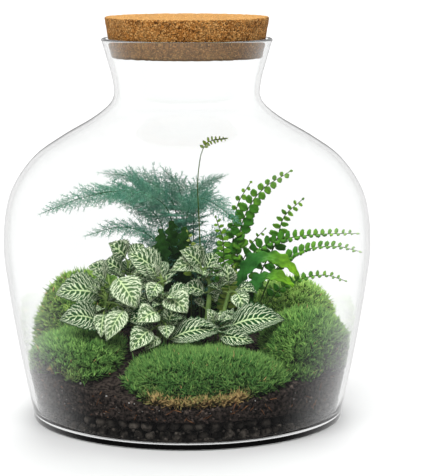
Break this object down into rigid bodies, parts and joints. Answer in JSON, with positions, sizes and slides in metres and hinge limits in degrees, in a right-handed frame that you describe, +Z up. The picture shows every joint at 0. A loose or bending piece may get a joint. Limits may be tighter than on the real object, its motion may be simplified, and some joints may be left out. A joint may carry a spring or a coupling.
{
  "type": "planted glass terrarium",
  "caption": "Round-bellied clear glass jar with a flared neck and a cork stopper, planted with moss cushions, nerve plants, a button fern and an asparagus fern.",
  "frame": {"origin": "centre of the jar's foot ring, on the surface that it stands on", "axes": "+Z up along the jar's axis, -Y towards the viewer of the front, +X to the right"},
  "size_m": [0.2796, 0.2796, 0.3054],
  "materials": {
    "jar_glass": "clear blown glass, faintly green where it is seen edge on, smooth and glossy",
    "cork": "pressed cork granules, orange brown with dark flecks, matt",
    "clay_pebbles": "round clay drainage pebbles, dark grey to brown, damp",
    "soil": "damp potting soil, dark brown crumbs with bark fibres and white perlite",
    "moss": "cushion moss, deep green with yellow-green tips, brown at its lower edge",
    "nerve_leaf": "dark green leaf with a raised net of pale green to white veins, satin",
    "fern_leaf": "bright green fern leaflets, yellow-green towards the tips, satin",
    "new_growth": "yellow-green new leaflets on a thin pale stalk",
    "strap_leaf": "waved strap leaf, mid green with a bright yellow-green end, satin",
    "dark_leaf": "deep green upright leaf, satin",
    "asparagus_green": "fine blue-green needles on wiry stems, matt"
  },
  "bodies": {
    "root": {"asparagus_spray_back": "asparagus_green", "asparagus_spray_left": "asparagus_green", "asparagus_spray_low_left": "asparagus_green", "asparagus_spray_low_right": "asparagus_green", "asparagus_spray_right": "asparagus_green", "asparagus_spray_top": "asparagus_green", "asparagus_spray_top_left": "asparagus_green", "asparagus_spray_top_right": "asparagus_green", "cork_stopper": "cork", "dark_leaf_left": "dark_leaf", "dark_leaf_middle": "dark_leaf", "dark_leaf_right": "dark_leaf", "drainage_pebbles": "clay_pebbles", "fern_chain": "new_growth", "fern_frond_back": "fern_leaf", "fern_frond_inner": "fern_leaf", "fern_frond_long": "fern_leaf", "fern_frond_low": "fern_leaf", "fern_frond_middle": "fern_leaf", "fern_frond_new": "fern_leaf", "fern_frond_right": "fern_leaf", "fern_frond_small": "fern_leaf", "fern_frond_tall": "fern_leaf", "fern_frond_upper": "fern_leaf", "fern_shoot": "new_growth", "fittonia_centre": "nerve_leaf", "fittonia_centre_right": "nerve_leaf", "fittonia_front": "nerve_leaf", "fittonia_left": "nerve_leaf", "fittonia_middle": "nerve_leaf", "fittonia_right": "nerve_leaf", "fittonia_top": "nerve_leaf", "glass_jar": "jar_glass", "moss_back": "moss", "moss_back_left": "moss", "moss_back_right": "moss", "moss_front": "moss", "moss_left": "moss", "moss_right": "moss", "soil": "soil", "wavy_leaf_lower": "strap_leaf", "wavy_leaf_upper": "strap_leaf"}
  },
  "joints": []
}
